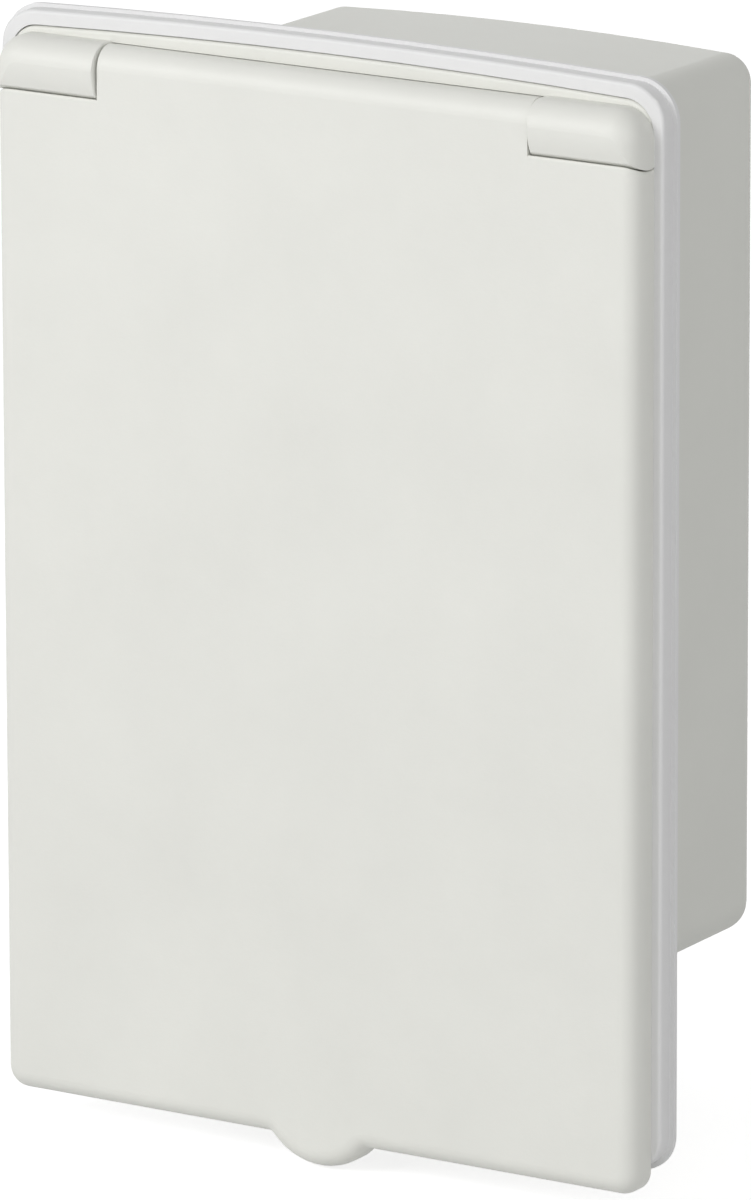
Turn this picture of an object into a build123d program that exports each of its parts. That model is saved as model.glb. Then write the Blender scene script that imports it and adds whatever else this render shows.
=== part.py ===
from build123d import *
import math
import os

os.makedirs("parts", exist_ok=True)

# Flush power inlet, 16 A two-pole and earth, for the side wall of a caravan or a hut.
# Millimetres: X runs across the wall, Y into it and Z up. The lid faces -Y.
# The origin is the centre of the four wall screws, on the wall's own plane.

# Lid: a shallow tray with a rolled hinge edge at its top and a thumb tab at its bottom.
lid_half_width = 52.0
lid_bottom = -76.8
lid_front = -7.8
lid_wall = 2.4
lid_rim_rear = -3.4
lid_rim_wall = 2.0
lid_edge_round = 2.6
lid_corner_round = 3.2
tab_half_chord = 7.9
tab_drop = 3.8
tab_junction_round = 1.0
tray_corner = 2.0
neck_floor = 61.5
tray_top = 65.3
notch_radius = 5.1
notch_brink_round = 0.3
catch_half_width = 6.0
catch_height = -66.0
catch_thickness = 1.6
catch_end = -1.4
catch_chamfer = 0.4
catch_slot_gap = 0.5
lid_seal_half_width = 36.2
lid_seal_bottom = -59.2
lid_seal_top = 65.9
lid_seal_width = 2.5
lid_seal_corner = 5.0
lid_seal_rear = -3.6
lid_seal_round = 0.7

# Hinge along X.
hinge_y = -4.6
hinge_z = 72.0
knuckle_radius = 3.2
knuckle_slot_half = 22.0
knuckle_slot_height = 3.2
boss_front = -8.65
boss_sill = -7.75
boss_root_radius = 4.9
boss_inner = 35.0
boss_top = 75.3
boss_crown_radius = 3.3
boss_end_round = 3.6
boss_edge_round = 0.3
pin_radius = 1.5
pin_running_gap = 0.05
pin_near_end = 23.0
pin_far_end = 47.0
pin_chamfer = 0.3
side_gap = 0.3
trough_radius = 3.35

# Front frame: flange, collar and the seats behind it.
frame_top = 75.9
top_crown = 1.2
frame_edge_round = 0.5
frame_top_corner = 4.4
flange_front = -3.3
flange_back = -1.0
flange_edge_front = -2.4
flange_edge_grow = 0.8
flange_edge_top = 77.2
centre_pad_half_width = 38.0
centre_pad_bottom = -58.0
centre_pad_top = 75.2
pad_corner = 3.0
opening_half_width = 29.0
opening_bottom = -52.0
opening_top = 62.0
opening_corner = 6.0
collar_wall = 1.7
collar_bottom = -53.3
collar_depth = 6.0
opening_lip_height = 0.9
opening_lip_wall = 1.4
opening_lip_top = 62.6

# Wall screws, on the corners of a rectangle centred on the origin.
wall_screw_x = 44.0
wall_screw_z = 62.0
wall_hole_radius = 2.25
wall_pad_radius = 3.5
wall_sink_depth = 1.4

# Flange seal, a moulded channel that wraps the flange's edge.
seal_half_width = 53.5
seal_bottom = -78.3
seal_top = 78.1
seal_front = -3.3
seal_window_gap = 0.1
seal_window_top = 76.1
seal_pad_inner = 47.7
seal_pad_bottom = -71.5
seal_pad_top = 75.4
seal_lip_grow = 0.7
seal_lip_top_grow = 0.5
seal_lip_front = -0.95
seal_lip_back = -0.25
seal_low_corner = 4.7
seal_high_corner = 5.4
seal_front_round = 0.5

# Back box.
box_half_width = 35.4
box_bottom = -55.9
box_top = 71.3
box_crown = 1.0
box_depth = 53.6
box_wall = 2.2
box_taper = 0.35
box_top_corner = 4.5
box_low_corner = 5.0
box_back_round = 3.0
ear_x = 38.9
ear_heights = (55.0, -45.0)
ear_radius = 3.2
ear_front = 5.0
ear_thickness = 3.0

# Small self-tapping screws of the box and the inlet plate, and the walls they tap.
small_screw_radius = 1.45
small_screw_head = 2.8
small_screw_head_height = 2.0
box_screw_length = 8.0
plate_screw_length = 6.0
screw_clearance = 0.2
pilot_end_skin = 0.4

# Inlet, built about its own axis: local Z points out of its mouth, local Y is up.
inlet_tilt = 8.0
inlet_origin_y = 35.4
inlet_origin_z = 16.0
shroud_radius = 22.0
shroud_bore = 19.75
shroud_length = 37.0
shroud_flange = 56.0
shroud_flange_thickness = 3.0
shroud_flange_corner = 4.0
shroud_rim_round = 0.9
shroud_mouth_chamfer = 0.7
key_width = 6.0
key_height = 2.4
key_length = 34.0
gasket_thickness = 1.5
carrier_radius = 19.6
carrier_rim_radius = 24.0
carrier_rib_wall = 1.6
carrier_rib_end = -13.0
carrier_rib_reach = 19.0
contact_circle = 9.75
contact_length = 33.0
earth_contact_radius = 3.0
live_contact_radius = 2.5
terminal_radius = 4.3
terminal_end = -13.4
terminal_bore = 1.9
terminal_bore_end = -6.0
terminal_screw_radius = 1.6
terminal_screw_length = 2.9
terminal_screw_head = 2.5
terminal_screw_head_height = 1.6
inlet_screw_pitch = 23.2
inlet_screw_radius = 1.75
inlet_screw_length = 11.0
inlet_screw_head = 3.3
inlet_screw_head_height = 2.3
inlet_screw_clearance = 0.3
inlet_boss_radius = 3.6
inlet_boss_depth = 5.5

# Inlet plate, the tilted wall between the recess and the terminal space.
plate_thickness = 2.5
plate_half_width = 32.6
plate_top = 52.0
plate_bottom = -39.0
plate_corner = 7.4
plate_hole = 20.5
plate_screw_x = 25.0
plate_screw_heights = (44.0, -33.5)
post_radius = 3.5
post_hole_depth = 3.6
shelf_rear = 51.2
shelf_overlap = 0.2

# Cable gland in the back wall.
gland_z = 50.0
gland_thread = 8.0
gland_bore = 5.6
gland_hex = 10.4
gland_hex_length = 4.6
gland_neck_radius = 7.6
gland_neck_length = 6.0
gland_thread_proud = 0.6
gland_washer_radius = 11.0
gland_washer_thickness = 1.0
locknut_hex = 11.0
locknut_length = 4.2
bush_radius = 7.1
bush_bore = 5.25
bush_length = 3.5
cap_hex = 10.2
cap_gap = 1.0
cap_length = 11.0
cap_hex_end = 7.0
cap_dome_radius = 9.0
cap_dome_start = 6.0
cap_dome_round = 2.4
cap_mouth = 5.9

# Frame of the inlet, used to place everything built about its axis.
tilt = math.radians(inlet_tilt)
inlet_plane = Plane(
    origin=(0, inlet_origin_y, inlet_origin_z),
    x_dir=(1, 0, 0),
    z_dir=(0, -math.cos(tilt), -math.sin(tilt)),
)
into_wall = Plane(origin=(0, 0, 0), x_dir=(-1, 0, 0), z_dir=(0, 1, 0))
gland_plane = Plane(origin=(0, box_depth, gland_z), x_dir=(-1, 0, 0), z_dir=(0, 1, 0))
plate_front = -shroud_flange_thickness - gasket_thickness
plate_back = plate_front - plate_thickness
box_inner_back = box_depth - box_wall
lid_inner = lid_front + lid_wall
gland_hex_end = gland_washer_thickness + gland_hex_length
gland_neck_end = gland_hex_end + gland_neck_length


def slab(outline, front, back):
    """Thicken an outline drawn in X and Z from one depth to another."""
    return extrude(Plane.XZ.offset(-back) * outline, amount=back - front)


def rectangle(half_width, bottom, top, corner):
    """Rounded rectangle in X and Z."""
    return Pos(0, (bottom + top) / 2) * RectangleRounded(2 * half_width, top - bottom, corner)


def arched(half_width, bottom, top, crown, low_corner, high_corner):
    """Rectangle in X and Z whose top edge bows up, with round corners."""
    low_left, low_right = (-half_width, bottom), (half_width, bottom)
    high_left, high_right = (-half_width, top), (half_width, top)
    outline = Face(Wire([
        Line(low_left, low_right),
        Line(low_right, high_right),
        ThreePointArc(high_right, (0, top + crown), high_left),
        Line(high_left, low_left),
    ]))
    lows = [corner for corner in outline.vertices() if corner.Y < bottom + 1]
    outline = outline.fillet_2d(low_corner, lows)
    highs = [corner for corner in outline.vertices() if corner.Y > top - 0.01]
    return outline.fillet_2d(high_corner, highs)


def rod(radius, low, high):
    """Round bar on local Z between two heights."""
    return Pos(0, 0, low) * Cylinder(radius, high - low, align=(Align.CENTER, Align.CENTER, Align.MIN))


def rod_along_x(radius, low, high, y, z):
    """Round bar along X between two places."""
    return Plane(origin=(low, y, z), x_dir=(0, 1, 0), z_dir=(1, 0, 0)) * rod(radius, 0, high - low)


def rod_along_y(radius, low, high, x, z):
    """Round bar along Y between two depths."""
    return Plane(origin=(x, low, z), x_dir=(-1, 0, 0), z_dir=(0, 1, 0)) * rod(radius, 0, high - low)


def block(x_range, y_range, z_range):
    """Plain block between pairs of limits."""
    lows, highs = zip(x_range, y_range, z_range)
    return Pos(*lows) * Box(*(high - low for low, high in zip(lows, highs)), align=Align.MIN)


def screw(shank_radius, length, head_radius, head_height):
    """Pan-head screw with a cross recess: head above local Z = 0, shank below."""
    head = rod(head_radius, 0, head_height)
    head = fillet(head.edges().group_by(Axis.Z)[-1], head_height * 0.45)
    shank = rod(shank_radius, -length, 0)
    shank = chamfer(shank.edges().group_by(Axis.Z)[0], shank_radius * 0.6)
    slot_long, slot_wide, slot_deep = head_radius * 1.1, head_radius * 0.28, head_height * 0.5
    slot = Pos(0, 0, head_height - slot_deep / 2) * Box(slot_long, slot_wide, slot_deep)
    return head + shank - slot - Rot(0, 0, 90) * slot


def hexagon_bar(across_corners_radius, low, high):
    """Hexagonal bar on local Z with broken corners at both ends."""
    bar = extrude(Pos(0, 0, low) * RegularPolygon(across_corners_radius, 6), amount=high - low)
    cone_low = across_corners_radius * 0.9
    turned = Pos(0, 0, low) * Cylinder(
        across_corners_radius * 0.97, high - low, align=(Align.CENTER, Align.CENTER, Align.MIN)
    )
    turned = chamfer(turned.edges(), across_corners_radius - cone_low)
    return bar & turned


def make_lid():
    """Lid tray, rolled hinge edge and thumb tab, moulded as one."""
    tab_radius = (tab_half_chord ** 2 + tab_drop ** 2) / (2 * tab_drop)
    tab_centre = lid_bottom - tab_drop + tab_radius
    tray = Face(Wire.make_polygon([
        (-lid_half_width, lid_bottom), (lid_half_width, lid_bottom),
        (lid_half_width, hinge_z), (-lid_half_width, hinge_z),
    ]))
    tray = tray.fillet_2d(lid_corner_round, [v for v in tray.vertices() if v.Y < 0])
    outline = Sketch() + tray + Pos(0, tab_centre) * Circle(tab_radius)
    junctions = [v for v in outline.vertices() if abs(abs(v.X) - tab_half_chord) < 0.2]
    outline = fillet(junctions, tab_junction_round)
    body = slab(outline, lid_front, lid_rim_rear)
    front_edges = body.edges().group_by(Axis.Y)[0]
    rounded = [edge for edge in front_edges if edge.center().Z < hinge_z - 1]
    body = fillet(rounded, lid_edge_round)
    inner_half = lid_half_width - lid_rim_wall
    notch_inner = boss_inner - side_gap
    tray_space = slab(
        rectangle(inner_half, lid_bottom + lid_rim_wall, tray_top, tray_corner),
        lid_inner, lid_rim_rear,
    )
    neck_space = block((-notch_inner, notch_inner), (lid_inner, lid_rim_rear), (neck_floor, hinge_z))
    body = body - tray_space - neck_space
    notch_edge = hinge_z - math.sqrt(notch_radius ** 2 - (hinge_y - lid_front) ** 2)
    for side in (-1, 1):
        low, high = sorted((side * notch_inner, side * (lid_half_width + 1)))
        body -= block((low, high), (lid_front - 1, 0), (notch_edge, hinge_z + 1))
        body -= rod_along_x(notch_radius, low, high, hinge_y, hinge_z)
    brinks = [
        edge for edge in body.edges().group_by(Axis.Y)[0]
        if abs(edge.center().Z - notch_edge) < 0.01 and abs(edge.center().X) > notch_inner
    ]
    body = fillet(brinks, notch_brink_round)
    body += rod_along_x(knuckle_radius, -notch_inner, notch_inner, hinge_y, hinge_z)
    slot_half = knuckle_slot_height / 2
    body -= block(
        (-knuckle_slot_half, knuckle_slot_half),
        (hinge_y - slot_half, hinge_y + knuckle_radius + 1),
        (hinge_z - slot_half, hinge_z + slot_half),
    )
    hole = pin_radius + pin_running_gap
    body -= rod_along_x(hole, -notch_inner, notch_inner, hinge_y, hinge_z)
    tongue = block(
        (-catch_half_width, catch_half_width),
        (lid_inner, catch_end),
        (catch_height - catch_thickness / 2, catch_height + catch_thickness / 2),
    )
    tongue = chamfer(tongue.edges().group_by(Axis.Y)[-1], catch_chamfer)
    return body + tongue


def make_lid_seal():
    """Soft ring on the lid's inner face, which meets the frame round the opening."""
    width = lid_seal_width
    outer = slab(
        rectangle(lid_seal_half_width, lid_seal_bottom, lid_seal_top, lid_seal_corner),
        lid_inner, lid_seal_rear,
    )
    outer = fillet(outer.edges().group_by(Axis.Y)[-1], lid_seal_round)
    hole = slab(
        rectangle(
            lid_seal_half_width - width, lid_seal_bottom + width, lid_seal_top - width,
            lid_seal_corner - width,
        ),
        lid_inner, 0,
    )
    return outer - hole


def boss_profile():
    """Section of a hinge boss in Y and Z: bowed front, round top and a root turned about the hinge."""
    sill_z = hinge_z - math.sqrt(boss_root_radius ** 2 - (hinge_y - boss_sill) ** 2)
    root_z = hinge_z - math.sqrt(boss_root_radius ** 2 - (hinge_y - flange_front) ** 2)
    crown_y = boss_front + boss_crown_radius
    bow = ((hinge_z - sill_z) ** 2 + (boss_sill - boss_front) ** 2) / (2 * (boss_sill - boss_front))
    mid_z = (hinge_z + sill_z) / 2
    mid_y = boss_front + bow - math.sqrt(bow ** 2 - (hinge_z - mid_z) ** 2)
    half = math.sqrt(0.5)
    return Face(Wire([
        ThreePointArc(
            (flange_front, root_z), (hinge_y, hinge_z - boss_root_radius), (boss_sill, sill_z)
        ),
        ThreePointArc((boss_sill, sill_z), (mid_y, mid_z), (boss_front, hinge_z)),
        ThreePointArc(
            (boss_front, hinge_z),
            (crown_y - half * boss_crown_radius, hinge_z + half * boss_crown_radius),
            (crown_y, hinge_z + boss_crown_radius),
        ),
        Line((crown_y, hinge_z + boss_crown_radius), (flange_back, hinge_z + boss_crown_radius)),
        Line((flange_back, hinge_z + boss_crown_radius), (flange_back, root_z)),
        Line((flange_back, root_z), (flange_front, root_z)),
    ]))


def make_boss(side):
    """Bowed hinge boss that fills a notch in the lid's top corner, rounded at its outer end."""
    low, high = sorted((side * boss_inner, side * (lid_half_width + 1)))
    section = Plane(origin=(low, 0, 0), x_dir=(0, 1, 0), z_dir=(1, 0, 0)) * boss_profile()
    bar = extrude(section, amount=high - low, dir=(1, 0, 0))
    sills = [edge for edge in bar.edges().filter_by(Axis.X) if abs(edge.center().Y - boss_sill) < 0.01]
    inner_end = bar.edges().group_by(Axis.X)[-1 if side < 0 else 0]
    brows = [edge for edge in inner_end if edge.center().Y < hinge_y and edge.center().Z > hinge_z - 3]
    bar = fillet(sills + brows, boss_edge_round)
    end = slab(
        rectangle(lid_half_width, lid_bottom, boss_top, frame_top_corner), boss_front, flange_back
    )
    end = fillet(end.edges().group_by(Axis.Y)[0], boss_end_round)
    return bar & end


def make_frame():
    """Front frame: flange, hinge bosses, knuckle trough, collar and screw bosses."""
    flange = slab(
        arched(lid_half_width, lid_bottom, frame_top, top_crown, lid_corner_round, frame_top_corner),
        flange_front, flange_back,
    )
    rim = [edge for edge in flange.edges().group_by(Axis.Y)[0] if edge.center().Z > hinge_z]
    flange = fillet(rim, frame_edge_round)
    edge = slab(flange_edge_outline(), flange_edge_front, flange_back)
    pad = slab(
        rectangle(centre_pad_half_width, centre_pad_bottom, centre_pad_top, pad_corner), flange_back, 0
    )
    grow = opening_lip_wall
    lip = slab(
        rectangle(opening_half_width + grow, opening_bottom - grow, opening_lip_top, opening_corner + grow),
        flange_front - opening_lip_height, flange_front,
    )
    collar = slab(
        rectangle(
            opening_half_width + collar_wall, collar_bottom,
            opening_top + collar_wall, opening_corner + collar_wall,
        ),
        0, collar_depth,
    )
    frame = flange + edge + pad + lip + collar
    for x in (-wall_screw_x, wall_screw_x):
        for z in (-wall_screw_z, wall_screw_z):
            frame += rod_along_y(wall_pad_radius, flange_back, 0, x, z)
    for x in (-ear_x, ear_x):
        for z in ear_heights:
            frame += rod_along_y(ear_radius, flange_back, ear_front, x, z)
    for side in (-1, 1):
        frame += make_boss(side)
    frame -= slab(
        rectangle(opening_half_width, opening_bottom, opening_top, opening_corner), -6, collar_depth + 1
    )
    frame -= rod_along_x(trough_radius, -boss_inner, boss_inner, hinge_y, hinge_z)
    frame -= rod_along_x(pin_radius, -pin_far_end, pin_far_end, hinge_y, hinge_z)
    slot_half_width = catch_half_width + catch_slot_gap
    slot_half_height = catch_thickness / 2 + catch_slot_gap
    frame -= block(
        (-slot_half_width, slot_half_width), (-6, 0),
        (catch_height - slot_half_height, catch_height + slot_half_height),
    )
    for x in (-wall_screw_x, wall_screw_x):
        for z in (-wall_screw_z, wall_screw_z):
            frame -= rod_along_y(wall_hole_radius, -6, 1, x, z)
            sink = Cone(wall_hole_radius, wall_hole_radius + wall_sink_depth, wall_sink_depth)
            frame -= Pos(x, flange_front + wall_sink_depth / 2, z) * Rot(90, 0, 0) * sink
    for x in (-ear_x, ear_x):
        for z in ear_heights:
            frame -= rod_along_y(small_screw_radius, flange_back + pilot_end_skin, ear_front + 1, x, z)
    return frame


def flange_edge_outline():
    """Outline of the flange's thin edge, which the seal wraps."""
    grow = flange_edge_grow
    return arched(
        lid_half_width + grow, lid_bottom - grow, flange_edge_top, top_crown,
        lid_corner_round + grow, frame_top_corner + grow,
    )


def make_flange_seal():
    """White channel seal round the flange, with a thin lip against the wall."""
    body = slab(
        arched(seal_half_width, seal_bottom, seal_top, top_crown, seal_low_corner, seal_high_corner),
        seal_front, 0,
    )
    body = fillet(body.edges().group_by(Axis.Y)[0], seal_front_round)
    lip = slab(
        arched(
            seal_half_width + seal_lip_grow, seal_bottom - seal_lip_grow,
            seal_top + seal_lip_top_grow, top_crown,
            seal_low_corner + seal_lip_grow, seal_high_corner + seal_lip_top_grow,
        ),
        seal_lip_front, seal_lip_back,
    )
    window = slab(
        arched(
            lid_half_width + seal_window_gap, lid_bottom - seal_window_gap, seal_window_top,
            top_crown, lid_corner_round, frame_top_corner,
        ),
        seal_front - 1, flange_edge_front,
    )
    channel = slab(flange_edge_outline(), flange_edge_front, flange_back)
    back = slab(rectangle(seal_pad_inner, seal_pad_bottom, seal_pad_top, pad_corner), flange_back, 1)
    return body + lip - window - channel - back


def box_cavity():
    """Inside of the back box, open at the wall's plane."""
    outline = arched(
        box_half_width - box_wall, box_bottom + box_wall, box_top - box_wall, box_crown,
        box_low_corner - box_wall, box_top_corner - box_wall,
    )
    return extrude(into_wall * outline, amount=box_inner_back, taper=box_taper)


def make_back_box():
    """Deep grey box behind the flange, with ears, posts and the gland hole."""
    outline = arched(box_half_width, box_bottom, box_top, box_crown, box_low_corner, box_top_corner)
    shell = extrude(into_wall * outline, amount=box_depth, taper=box_taper)
    shell = fillet(shell.edges().group_by(Axis.Y)[-1], box_back_round)
    cavity = box_cavity()
    shell -= cavity
    for side in (-1, 1):
        for z in ear_heights:
            root_x = side * (box_half_width - box_wall)
            low, high = sorted((root_x, side * ear_x))
            ear_back = ear_front + ear_thickness
            ear = rod_along_y(ear_radius, ear_front, ear_back, side * ear_x, z)
            ear += block((low, high), (ear_front, ear_back), (z - ear_radius, z + ear_radius))
            ear -= rod_along_y(small_screw_radius + screw_clearance, 0, ear_front + 9, side * ear_x, z)
            shell += ear - cavity
    for x in (-plate_screw_x, plate_screw_x):
        for y in plate_screw_heights:
            post = inlet_plane * Pos(x, y, 0) * rod(post_radius, -30, plate_back)
            hole = inlet_plane * Pos(x, y, 0) * rod(small_screw_radius, plate_back - post_hole_depth, 0)
            shell += (post & cavity) - hole
    shell -= rod_along_y(gland_thread, box_inner_back - 1, box_depth + 1, 0, gland_z)
    return shell


def make_box_screws():
    """Four screws that hold the back box to the frame from behind."""
    screws = []
    for x in (-ear_x, ear_x):
        for z in ear_heights:
            seat = Plane(origin=(x, ear_front + ear_thickness, z), x_dir=(-1, 0, 0), z_dir=(0, 1, 0))
            screws.append(seat * screw(
                small_screw_radius, box_screw_length, small_screw_head, small_screw_head_height
            ))
    return screws


def make_shroud():
    """Blue inlet body: round shroud with its key, on a square flange."""
    body = rod(shroud_radius, -shroud_flange_thickness, shroud_length)
    body = fillet(body.edges().group_by(Axis.Z)[-1], shroud_rim_round)
    square = RectangleRounded(shroud_flange, shroud_flange, shroud_flange_corner)
    body += extrude(Pos(0, 0, -shroud_flange_thickness) * square, amount=shroud_flange_thickness)
    body += block(
        (-key_width / 2, key_width / 2), (-shroud_radius - key_height, -shroud_radius + 1), (-1, key_length)
    )
    body -= rod(shroud_bore, -shroud_flange_thickness - 1, shroud_length + 1)
    mouth = body.edges().filter_by(GeomType.CIRCLE).group_by(Axis.Z)[-1].sort_by(SortBy.RADIUS)[0]
    body = chamfer(mouth, shroud_mouth_chamfer)
    for x in (-inlet_screw_pitch, inlet_screw_pitch):
        for y in (-inlet_screw_pitch, inlet_screw_pitch):
            body -= Pos(x, y, 0) * rod(inlet_screw_radius + inlet_screw_clearance, -10, 1)
    return inlet_plane * body


def make_gasket():
    """Flat gasket between the shroud's flange and the inlet plate."""
    square = RectangleRounded(shroud_flange, shroud_flange, shroud_flange_corner)
    ring = extrude(Pos(0, 0, plate_front) * square, amount=gasket_thickness)
    ring -= rod(carrier_rim_radius + 0.1, -10, 0)
    for x in (-inlet_screw_pitch, inlet_screw_pitch):
        for y in (-inlet_screw_pitch, inlet_screw_pitch):
            ring -= Pos(x, y, 0) * rod(inlet_screw_radius + inlet_screw_clearance, -10, 1)
    return inlet_plane * ring


def contact_place(index):
    """Place of a contact on its circle: 0 is the earth, at six o'clock."""
    return Rot(0, 0, 120 * index) * Pos(0, -contact_circle, 0)


def make_carrier():
    """Insulating disc that carries the three contacts, with ribs between them."""
    disc = rod(carrier_radius, plate_front, 0)
    disc += rod(carrier_rim_radius, plate_front, -shroud_flange_thickness)
    for index in range(3):
        rib = block(
            (-carrier_rib_wall / 2, carrier_rib_wall / 2), (0, carrier_rib_reach),
            (carrier_rib_end, plate_front),
        )
        disc += Rot(0, 0, 120 * index) * rib
    for index in range(3):
        radius = earth_contact_radius if index == 0 else live_contact_radius
        disc -= contact_place(index) * rod(radius, plate_front - 1, 1)
    return inlet_plane * disc


def make_contact(index):
    """Turned brass contact pin with its screw terminal behind the carrier."""
    radius = earth_contact_radius if index == 0 else live_contact_radius
    pin = rod(radius, plate_front, contact_length)
    pin = fillet(pin.edges().group_by(Axis.Z)[-1], radius * 0.6)
    pin += rod(terminal_radius, terminal_end, plate_front)
    pin -= rod(terminal_bore, terminal_end - 1, terminal_bore_end)
    level = (terminal_end + plate_front) / 2
    pin -= Pos(0, 0, level) * Rot(90, 0, 0) * rod(terminal_screw_radius, 0, terminal_radius + 1)
    return inlet_plane * contact_place(index) * pin


def make_terminal_screws():
    """One clamping screw in each terminal, driven from the outside."""
    level = (terminal_end + plate_front) / 2
    seat = Pos(0, -terminal_radius, level) * Rot(90, 0, 0)
    clamp = screw(
        terminal_screw_radius, terminal_screw_length, terminal_screw_head, terminal_screw_head_height
    )
    return [inlet_plane * contact_place(index) * seat * clamp for index in range(3)]


def make_inlet_screws():
    """Four screws through the shroud's flange into the inlet plate."""
    fixing = screw(inlet_screw_radius, inlet_screw_length, inlet_screw_head, inlet_screw_head_height)
    return [
        inlet_plane * Pos(x, y, 0) * fixing
        for x in (-inlet_screw_pitch, inlet_screw_pitch)
        for y in (-inlet_screw_pitch, inlet_screw_pitch)
    ]


def make_plate():
    """Inlet plate with the shelf that closes the terminal space below."""
    centre = (plate_top + plate_bottom) / 2
    outline = Pos(0, centre, plate_back) * Rectangle(2 * plate_half_width, plate_top - plate_bottom)
    top_corners = [v for v in outline.vertices() if v.Y > 0]
    plate = extrude(fillet(top_corners, plate_corner), amount=plate_thickness)
    plate -= rod(plate_hole, -20, 0)
    for x in (-inlet_screw_pitch, inlet_screw_pitch):
        for y in (-inlet_screw_pitch, inlet_screw_pitch):
            plate += Pos(x, y, 0) * rod(inlet_boss_radius, plate_back - inlet_boss_depth, plate_back)
            plate -= Pos(x, y, 0) * rod(inlet_screw_radius, -inlet_screw_length, 0)
    for x in (-plate_screw_x, plate_screw_x):
        for y in plate_screw_heights:
            plate -= Pos(x, y, 0) * rod(small_screw_radius + screw_clearance, -20, 0)
    plate = inlet_plane * plate
    shelf_top = inlet_origin_z + plate_bottom * math.cos(tilt) - plate_back * math.sin(tilt)
    shelf_front = inlet_origin_y - plate_bottom * math.sin(tilt) - plate_front * math.cos(tilt)
    shelf = block(
        (-plate_half_width, plate_half_width), (shelf_front - shelf_overlap, shelf_rear),
        (shelf_top - box_wall, shelf_top + shelf_overlap),
    )
    return plate + shelf


def make_plate_screws():
    """Four screws that hold the inlet plate to the box's posts."""
    fixing = screw(small_screw_radius, plate_screw_length, small_screw_head, small_screw_head_height)
    return [
        inlet_plane * Pos(x, y, plate_front) * fixing
        for x in (-plate_screw_x, plate_screw_x)
        for y in plate_screw_heights
    ]


def make_gland_body():
    """Gland body: thread through the wall, hexagon outside and a neck for the cap."""
    body = rod(gland_thread, -box_wall - locknut_length - gland_thread_proud, gland_hex_end)
    body += hexagon_bar(gland_hex, gland_washer_thickness, gland_hex_end)
    body += rod(gland_neck_radius, gland_washer_thickness, gland_neck_end)
    body -= rod(gland_bore, -20, 40)
    return gland_plane * body


def make_gland_washer():
    """Flat washer between the gland's hexagon and the box."""
    ring = rod(gland_washer_radius, 0, gland_washer_thickness) - rod(gland_thread, -1, 3)
    return gland_plane * ring


def make_gland_locknut():
    """Hexagonal nut on the gland's thread inside the box."""
    nut = hexagon_bar(locknut_hex, -box_wall - locknut_length, -box_wall)
    return gland_plane * (nut - rod(gland_thread, -20, 5))


def make_gland_bush():
    """Rubber bush that grips the cable inside the cap."""
    bush = rod(bush_radius, gland_neck_end, gland_neck_end + bush_length)
    return gland_plane * (bush - rod(bush_bore, 0, 40))


def make_gland_cap():
    """Domed cap nut that squeezes the bush on the cable."""
    start = gland_hex_end + cap_gap
    cap = hexagon_bar(cap_hex, start, start + cap_hex_end)
    dome = rod(cap_dome_radius, start + cap_dome_start, start + cap_length)
    cap += fillet(dome.edges().group_by(Axis.Z)[-1], cap_dome_round)
    cap -= rod(gland_neck_radius, 0, gland_neck_end + bush_length)
    cap -= rod(cap_mouth, 0, 40)
    return gland_plane * cap


def make_hinge_pin(side):
    """Steel pin pressed in a boss, on which one end of the lid's knuckle turns."""
    low, high = sorted((side * pin_near_end, side * pin_far_end))
    pin = rod_along_x(pin_radius, low, high, hinge_y, hinge_z)
    return chamfer(pin.edges().filter_by(GeomType.CIRCLE), pin_chamfer)


pieces = {
    "lid": make_lid(),
    "lid_seal": make_lid_seal(),
    "front_frame": make_frame(),
    "flange_seal": make_flange_seal(),
    "hinge_pin_left": make_hinge_pin(-1),
    "hinge_pin_right": make_hinge_pin(1),
    "back_box": make_back_box(),
    "box_screws": make_box_screws(),
    "inlet_plate": make_plate(),
    "plate_screws": make_plate_screws(),
    "inlet_shroud": make_shroud(),
    "inlet_gasket": make_gasket(),
    "inlet_screws": make_inlet_screws(),
    "contact_carrier": make_carrier(),
    "earth_pin": make_contact(0),
    "live_pin": make_contact(1),
    "neutral_pin": make_contact(2),
    "terminal_screws": make_terminal_screws(),
    "gland_body": make_gland_body(),
    "gland_washer": make_gland_washer(),
    "gland_locknut": make_gland_locknut(),
    "gland_bush": make_gland_bush(),
    "gland_cap": make_gland_cap(),
}

for name, piece in pieces.items():
    solid = Compound(children=piece) if isinstance(piece, list) else piece
    export_step(solid, f"parts/{name}.step")
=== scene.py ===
import math

import bpy
from mathutils import Matrix, Vector


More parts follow.
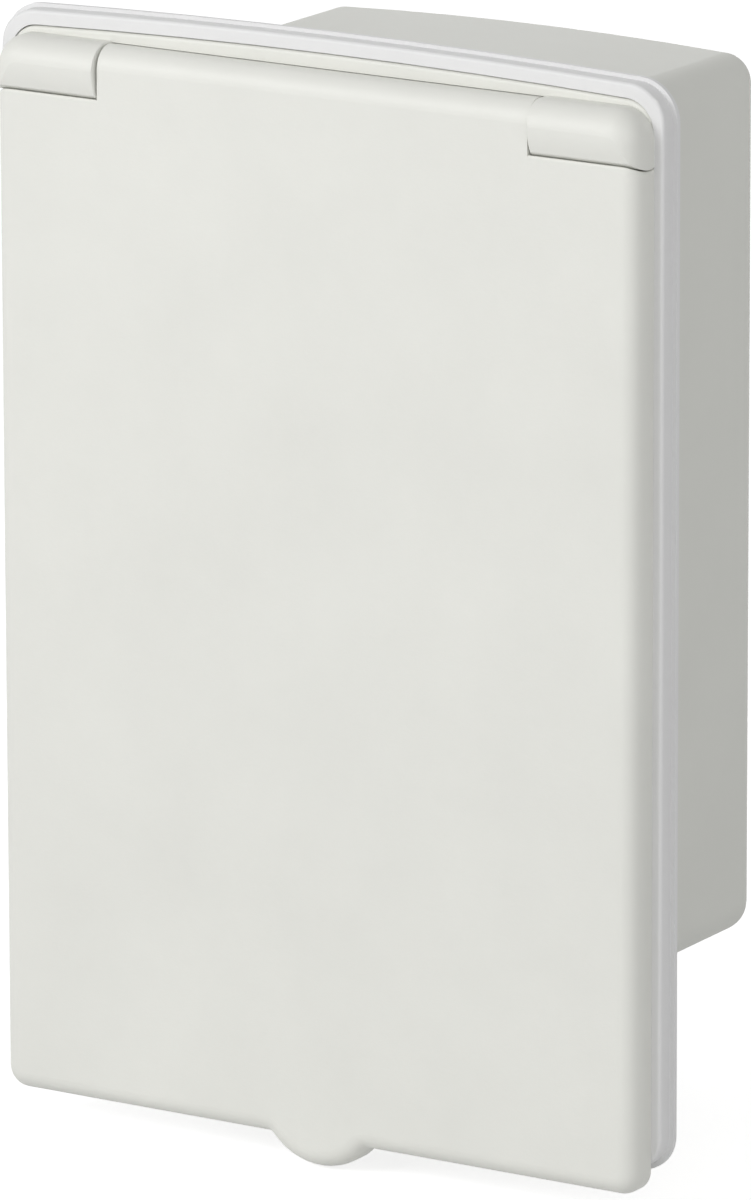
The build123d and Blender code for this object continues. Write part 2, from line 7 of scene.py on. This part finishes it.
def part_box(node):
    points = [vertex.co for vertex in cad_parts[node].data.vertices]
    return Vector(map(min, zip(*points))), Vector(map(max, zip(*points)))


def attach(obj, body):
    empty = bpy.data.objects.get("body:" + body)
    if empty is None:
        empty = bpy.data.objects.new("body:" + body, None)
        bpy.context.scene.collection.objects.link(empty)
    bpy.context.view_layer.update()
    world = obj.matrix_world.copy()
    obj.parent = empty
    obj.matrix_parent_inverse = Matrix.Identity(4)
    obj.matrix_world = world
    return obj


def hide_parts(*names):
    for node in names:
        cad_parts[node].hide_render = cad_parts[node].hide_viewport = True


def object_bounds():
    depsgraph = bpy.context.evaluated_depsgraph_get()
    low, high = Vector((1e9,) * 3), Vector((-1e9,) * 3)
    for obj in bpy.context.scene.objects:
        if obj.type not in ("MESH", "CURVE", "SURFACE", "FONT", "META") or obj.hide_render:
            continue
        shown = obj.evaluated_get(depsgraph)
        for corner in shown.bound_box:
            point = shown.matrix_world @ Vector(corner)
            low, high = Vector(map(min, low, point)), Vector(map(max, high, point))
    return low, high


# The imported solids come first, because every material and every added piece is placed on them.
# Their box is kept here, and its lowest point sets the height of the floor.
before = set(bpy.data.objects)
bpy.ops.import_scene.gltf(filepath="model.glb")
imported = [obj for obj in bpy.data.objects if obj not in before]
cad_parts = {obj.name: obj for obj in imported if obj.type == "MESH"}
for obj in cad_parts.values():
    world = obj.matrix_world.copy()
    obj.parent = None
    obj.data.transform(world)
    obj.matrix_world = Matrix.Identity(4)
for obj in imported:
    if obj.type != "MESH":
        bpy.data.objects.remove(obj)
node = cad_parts
solid_low, solid_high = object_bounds()

# The camera stands to the right of the inlet and a little above it, about 1.6 m from the lid.
# The long lens keeps the lid's edges nearly parallel, as on a catalogue picture.
camera_data = bpy.data.cameras.new("camera")
camera = bpy.data.objects.new("camera", camera_data)
bpy.context.scene.collection.objects.link(camera)
bpy.context.scene.camera = camera
yaw = math.radians(32.08)
pitch = math.radians(14.34)
roll = math.radians(-0.165)
distance = 1.600
looked_at = Vector((0.00550, 0.0, 0.00034))
focal_pixels = 11593
frame_long_side = 1200
camera_data.sensor_width = 36.0
camera_data.lens = focal_pixels * camera_data.sensor_width / frame_long_side
camera_data.clip_start = 0.05
camera_data.clip_end = 20.0
backward = Vector((
    math.sin(yaw) * math.cos(pitch), -math.cos(yaw) * math.cos(pitch), math.sin(pitch)
))
sideways = Vector((math.cos(yaw), math.sin(yaw), 0.0))
upward = backward.cross(sideways)
tilted_side = math.cos(roll) * sideways + math.sin(roll) * upward
tilted_up = -math.sin(roll) * sideways + math.cos(roll) * upward
turn = Matrix((tilted_side, tilted_up, backward)).transposed()
camera.matrix_world = Matrix.Translation(looked_at + distance * backward) @ turn.to_4x4()

# The lid and the front frame are one cream plastic, injection moulded with a fine spark-eroded grain.
# The lid is a tray that hangs on two pins; the frame is screwed to the wall behind it.
plastic_index = 1.5
clouds_per_metre = 55.0
gloss_spread = 0.06
grain_relief = 0.6


def new_material(name):
    """Start a material and give it back with its nodes and links."""
    material = bpy.data.materials.new(name)
    material.use_nodes = True
    return material, material.node_tree.nodes, material.node_tree.links


def fine_skin(nodes, links, size, detail, harshness, smoothest, roughest, relief, depth):
    """Break up the gloss and raise the surface with one fine noise."""
    shader = nodes["Principled BSDF"]
    place = nodes.new("ShaderNodeTexCoord")
    noise = nodes.new("ShaderNodeTexNoise")
    noise.inputs["Scale"].default_value = 1 / size
    noise.inputs["Detail"].default_value = detail
    noise.inputs["Roughness"].default_value = harshness
    links.new(place.outputs["Object"], noise.inputs["Vector"])
    gloss = nodes.new("ShaderNodeMapRange")
    gloss.inputs["To Min"].default_value = smoothest
    gloss.inputs["To Max"].default_value = roughest
    links.new(noise.outputs["Fac"], gloss.inputs["Value"])
    links.new(gloss.outputs["Result"], shader.inputs["Roughness"])
    bump = nodes.new("ShaderNodeBump")
    bump.inputs["Strength"].default_value = relief
    bump.inputs["Distance"].default_value = depth
    links.new(noise.outputs["Fac"], bump.inputs["Height"])
    links.new(bump.outputs["Normal"], shader.inputs["Normal"])


def moulded_plastic(name, colour, roughness, grain_size, grain_depth, cloud=0.03):
    """Opaque moulded plastic with a mould grain, faint clouds of shade and an uneven gloss."""
    material, nodes, links = new_material(name)
    shader = nodes["Principled BSDF"]
    shader.inputs["IOR"].default_value = plastic_index
    place = nodes.new("ShaderNodeTexCoord")
    clouds = nodes.new("ShaderNodeTexNoise")
    clouds.inputs["Scale"].default_value = clouds_per_metre
    clouds.inputs["Detail"].default_value = 4.0
    links.new(place.outputs["Object"], clouds.inputs["Vector"])
    darker = [c * (1 - cloud) for c in colour]
    lighter = [min(1, c * (1 + cloud)) for c in colour]
    shade = nodes.new("ShaderNodeMix")
    shade.data_type = "RGBA"
    shade.inputs["A"].default_value = (*darker, 1)
    shade.inputs["B"].default_value = (*lighter, 1)
    links.new(clouds.outputs["Fac"], shade.inputs["Factor"])
    links.new(shade.outputs["Result"], shader.inputs["Base Color"])
    fine_skin(
        nodes, links, size=grain_size, detail=5.0, harshness=0.65,
        smoothest=roughness - gloss_spread, roughest=roughness + gloss_spread,
        relief=grain_relief, depth=grain_depth,
    )
    return material


def finish_node(name, material):
    """Put one material on every slot of a solid."""
    for slot in node[name].material_slots:
        slot.material = material


cream = moulded_plastic(
    "cream_plastic", colour=(0.795, 0.797, 0.752), roughness=0.50,
    grain_size=0.0005, grain_depth=0.00004, cloud=0.045,
)
finish_node("lid", cream)
finish_node("front_frame", cream)

# The flange's lower end stops short of the lid's, so that the lid hangs over it and sheds the rain.
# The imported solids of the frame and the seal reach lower, and these shorter copies stand for them.
flange_foot = -0.0725
lid_overhang = 0.0045


def shortened(solid, name):
    """Copy a solid of the flange with its foot drawn up under the lid, and let the copy stand for it."""
    mesh = node[solid].data.copy()
    mesh.name = name
    for point in mesh.vertices:
        if point.co.z < flange_foot:
            point.co.z += lid_overhang
    piece = bpy.data.objects.new(name, mesh)
    bpy.context.scene.collection.objects.link(piece)
    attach(piece, "housing")
    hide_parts(solid)
    return piece


shortened("front_frame", "short_frame")

# The flange seal is a moulded channel of white thermoplastic elastomer, pushed over the flange's edge.
# It is smoother than the lid and has none of its yellow.
white_elastomer = moulded_plastic(
    "white_elastomer", colour=(0.80, 0.80, 0.80), roughness=0.50,
    grain_size=0.0011, grain_depth=0.00002, cloud=0.015,
)
finish_node("flange_seal", white_elastomer)
seal = shortened("flange_seal", "short_seal")

# The seal's inner edge swells under the shut lid's rim, which closes the line between the two.
# The sides of its window move in beside the lid, and its front stretches out towards the rim.
lid_clearance = 0.0001
window_swelling = 0.00025
margin = 0.00005
window_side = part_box("lid")[1].x + lid_clearance
window_reach = window_side + margin
window_floor = -0.00235
swell_in = 1 - window_swelling / window_side
swell_start = -0.0028
swell_out = 1.16
for point in seal.data.vertices:
    if point.co.y < window_floor and abs(point.co.x) < window_reach:
        point.co.x *= swell_in
    if point.co.y < swell_start:
        point.co.y = swell_start + (point.co.y - swell_start) * swell_out

# The back box is the deep housing behind the wall, one light grey moulding with drafted walls.
# Four screws through its ears hold it to the front frame, and the cable gland sits in its back wall.
grey = moulded_plastic(
    "grey_plastic", colour=(0.755, 0.76, 0.715), roughness=0.5,
    grain_size=0.0008, grain_depth=0.00004,
)
finish_node("back_box", grey)

# The inlet plate is a wall of the same grey plastic, tilted between the recess and the terminal space.
# It is screwed to posts in the box, and its shelf closes the terminal space below the inlet.
finish_node("inlet_plate", grey)

# The shroud is the round mouth of the inlet, in the blue that marks 230 volts.
# It is moulded with its key and its square flange, in a harder and glossier plastic than the box.
blue = moulded_plastic(
    "blue_plastic", colour=(0.015, 0.11, 0.42), roughness=0.32,
    grain_size=0.0012, grain_depth=0.00002,
)
finish_node("inlet_shroud", blue)

# The contact carrier is the insulating disc that holds the three contacts apart.
# It is a black thermoset, pressed hot in its mould and pushed into the shroud from behind.
black = moulded_plastic(
    "black_plastic", colour=(0.025, 0.025, 0.028), roughness=0.4,
    grain_size=0.001, grain_depth=0.00003,
)
finish_node("contact_carrier", black)

# The cable gland is three mouldings of grey polyamide: a body through the box's wall, a nut and a cap.
# The nut clamps the body to the wall, and the cap squeezes the rubber bush inside it.
polyamide = moulded_plastic(
    "gland_plastic", colour=(0.40, 0.41, 0.415), roughness=0.45,
    grain_size=0.0009, grain_depth=0.00003,
)
for name in ("gland_body", "gland_locknut", "gland_cap"):
    finish_node(name, polyamide)

# The ring in the lid, the inlet's gasket and the gland's washer and bush keep the water out.
# All four are soft black rubber, squeezed between the harder pieces when these are screwed up or shut.
rubber = moulded_plastic(
    "seal_rubber", colour=(0.035, 0.035, 0.036), roughness=0.75,
    grain_size=0.0007, grain_depth=0.00004,
)
for name in ("lid_seal", "inlet_gasket", "gland_washer", "gland_bush"):
    finish_node(name, rubber)

# The three contacts are turned brass, plated with nickel and pressed into the carrier.
# Each has its screw terminal behind the carrier, and use wears fine scratches in the plating.
gloss_gain = 0.08
gloss_loss = 0.12
scratch_relief = 0.3
scratch_depth = 0.00001


def bright_metal(name, colour, roughness, scratch_size):
    """Bright metal with fine scratches that break up its gloss."""
    material, nodes, links = new_material(name)
    shader = nodes["Principled BSDF"]
    shader.inputs["Metallic"].default_value = 1.0
    shader.inputs["Base Color"].default_value = (*colour, 1)
    fine_skin(
        nodes, links, size=scratch_size, detail=6.0, harshness=0.5,
        smoothest=roughness - gloss_gain, roughest=roughness + gloss_loss,
        relief=scratch_relief, depth=scratch_depth,
    )
    return material


nickel = bright_metal(
    "contact_metal", colour=(0.75, 0.72, 0.66), roughness=0.42, scratch_size=0.0006,
)
for name in ("earth_pin", "live_pin", "neutral_pin"):
    finish_node(name, nickel)

# Every screw and both hinge pins are stainless steel, so that they don't rust in the rain.
# The screws are cold headed with a cross recess, and the pins are pressed into the bosses.
steel = bright_metal("steel", colour=(0.62, 0.62, 0.62), roughness=0.3, scratch_size=0.0005)
for name in ("hinge_pin_left", "hinge_pin_right"):
    finish_node(name, steel)
for name in ("box_screws", "plate_screws", "inlet_screws", "terminal_screws"):
    finish_node(name, steel)

# The studio's floor is pale and lies just below the inlet, whose shadow it keeps.
# Its glow shows only to the camera and in reflections, and adds no diffuse light to the inlet.
floor_reach = 3.0
floor_clearance = 0.0005
floor_height = solid_low.z - floor_clearance
floor_glow = 0.70


def either(nodes, links, first, second):
    """Join two signals into one that is on where either is on."""
    join = nodes.new("ShaderNodeMath")
    join.operation = "MAXIMUM"
    links.new(first, join.inputs[0])
    links.new(second, join.inputs[1])
    return join.outputs["Value"]


floor_mesh = bpy.data.meshes.new("floor")
floor_corners = [
    (across * floor_reach, deep * floor_reach, floor_height)
    for across, deep in ((-1, -1), (1, -1), (1, 1), (-1, 1))
]
floor_mesh.from_pydata(floor_corners, [], [(0, 1, 2, 3)])
floor = bpy.data.objects.new("floor", floor_mesh)
bpy.context.scene.collection.objects.link(floor)
floor_material, floor_nodes, floor_links = new_material("floor")
floor_shader = floor_nodes["Principled BSDF"]
floor_shader.inputs["Base Color"].default_value = (0.7, 0.7, 0.7, 1)
floor_shader.inputs["Roughness"].default_value = 0.9
floor_shader.inputs["Specular IOR Level"].default_value = 0.0
floor_ray = floor_nodes.new("ShaderNodeLightPath")
floor_seen = either(
    floor_nodes, floor_links, floor_ray.outputs["Is Camera Ray"], floor_ray.outputs["Is Glossy Ray"]
)
glow = floor_nodes.new("ShaderNodeEmission")
glow.inputs["Color"].default_value = (1, 1, 1, 1)
glow.inputs["Strength"].default_value = floor_glow
no_glow = floor_nodes.new("ShaderNodeEmission")
no_glow.inputs["Strength"].default_value = 0.0
switch = floor_nodes.new("ShaderNodeMixShader")
floor_links.new(floor_seen, switch.inputs["Fac"])
floor_links.new(no_glow.outputs["Emission"], switch.inputs[1])
floor_links.new(glow.outputs["Emission"], switch.inputs[2])
total = floor_nodes.new("ShaderNodeAddShader")
floor_links.new(floor_shader.outputs["BSDF"], total.inputs[0])
floor_links.new(switch.outputs["Shader"], total.inputs[1])
floor_links.new(total.outputs["Shader"], floor_nodes["Material Output"].inputs["Surface"])
floor_mesh.materials.append(floor_material)

# The world stands for the studio's walls: white to the camera, in reflections and through glass.
# To everything else it is a dimmer white, which fills the shadows and leaves the cream its colour.
fill_level = 0.422
seen_level = 1.0
world = bpy.data.worlds.new("studio")
bpy.context.scene.world = world
world.use_nodes = True
world_nodes = world.node_tree.nodes
world_links = world.node_tree.links
background = world_nodes["Background"]
background.inputs["Color"].default_value = (1, 1, 1, 1)
world_ray = world_nodes.new("ShaderNodeLightPath")
straight = either(
    world_nodes, world_links, world_ray.outputs["Is Camera Ray"], world_ray.outputs["Is Transmission Ray"]
)
world_seen = either(world_nodes, world_links, straight, world_ray.outputs["Is Glossy Ray"])
level = world_nodes.new("ShaderNodeMapRange")
level.inputs["To Min"].default_value = fill_level
level.inputs["To Max"].default_value = seen_level
world_links.new(world_seen, level.inputs["Value"])
world_links.new(level.outputs["Result"], background.inputs["Strength"])


# Three soft lamps light the inlet: the key from the upper left, one on the box's side and one behind.
# Their powers are low, because all three stand only a little over a metre away.
def softbox(name, place, aim, size, power):
    """Square soft lamp aimed at a point."""
    data = bpy.data.lights.new(name, "AREA")
    data.size = size
    data.energy = power
    lamp = bpy.data.objects.new(name, data)
    bpy.context.scene.collection.objects.link(lamp)
    lamp.location = place
    lamp.rotation_mode = "QUATERNION"
    lamp.rotation_quaternion = (Vector(aim) - Vector(place)).to_track_quat("-Z", "Y")


softbox("key", place=(-0.50, -0.90, 0.50), aim=(0, 0, 0), size=0.55, power=6.1)
softbox("side", place=(0.90, -0.70, 0.35), aim=(0, 0, 0), size=0.8, power=2.7)
softbox("back", place=(-0.60, 1.25, 0.10), aim=(0, 0, 0.03), size=0.3, power=1.4)

bpy.context.scene.view_settings.view_transform = "Standard"
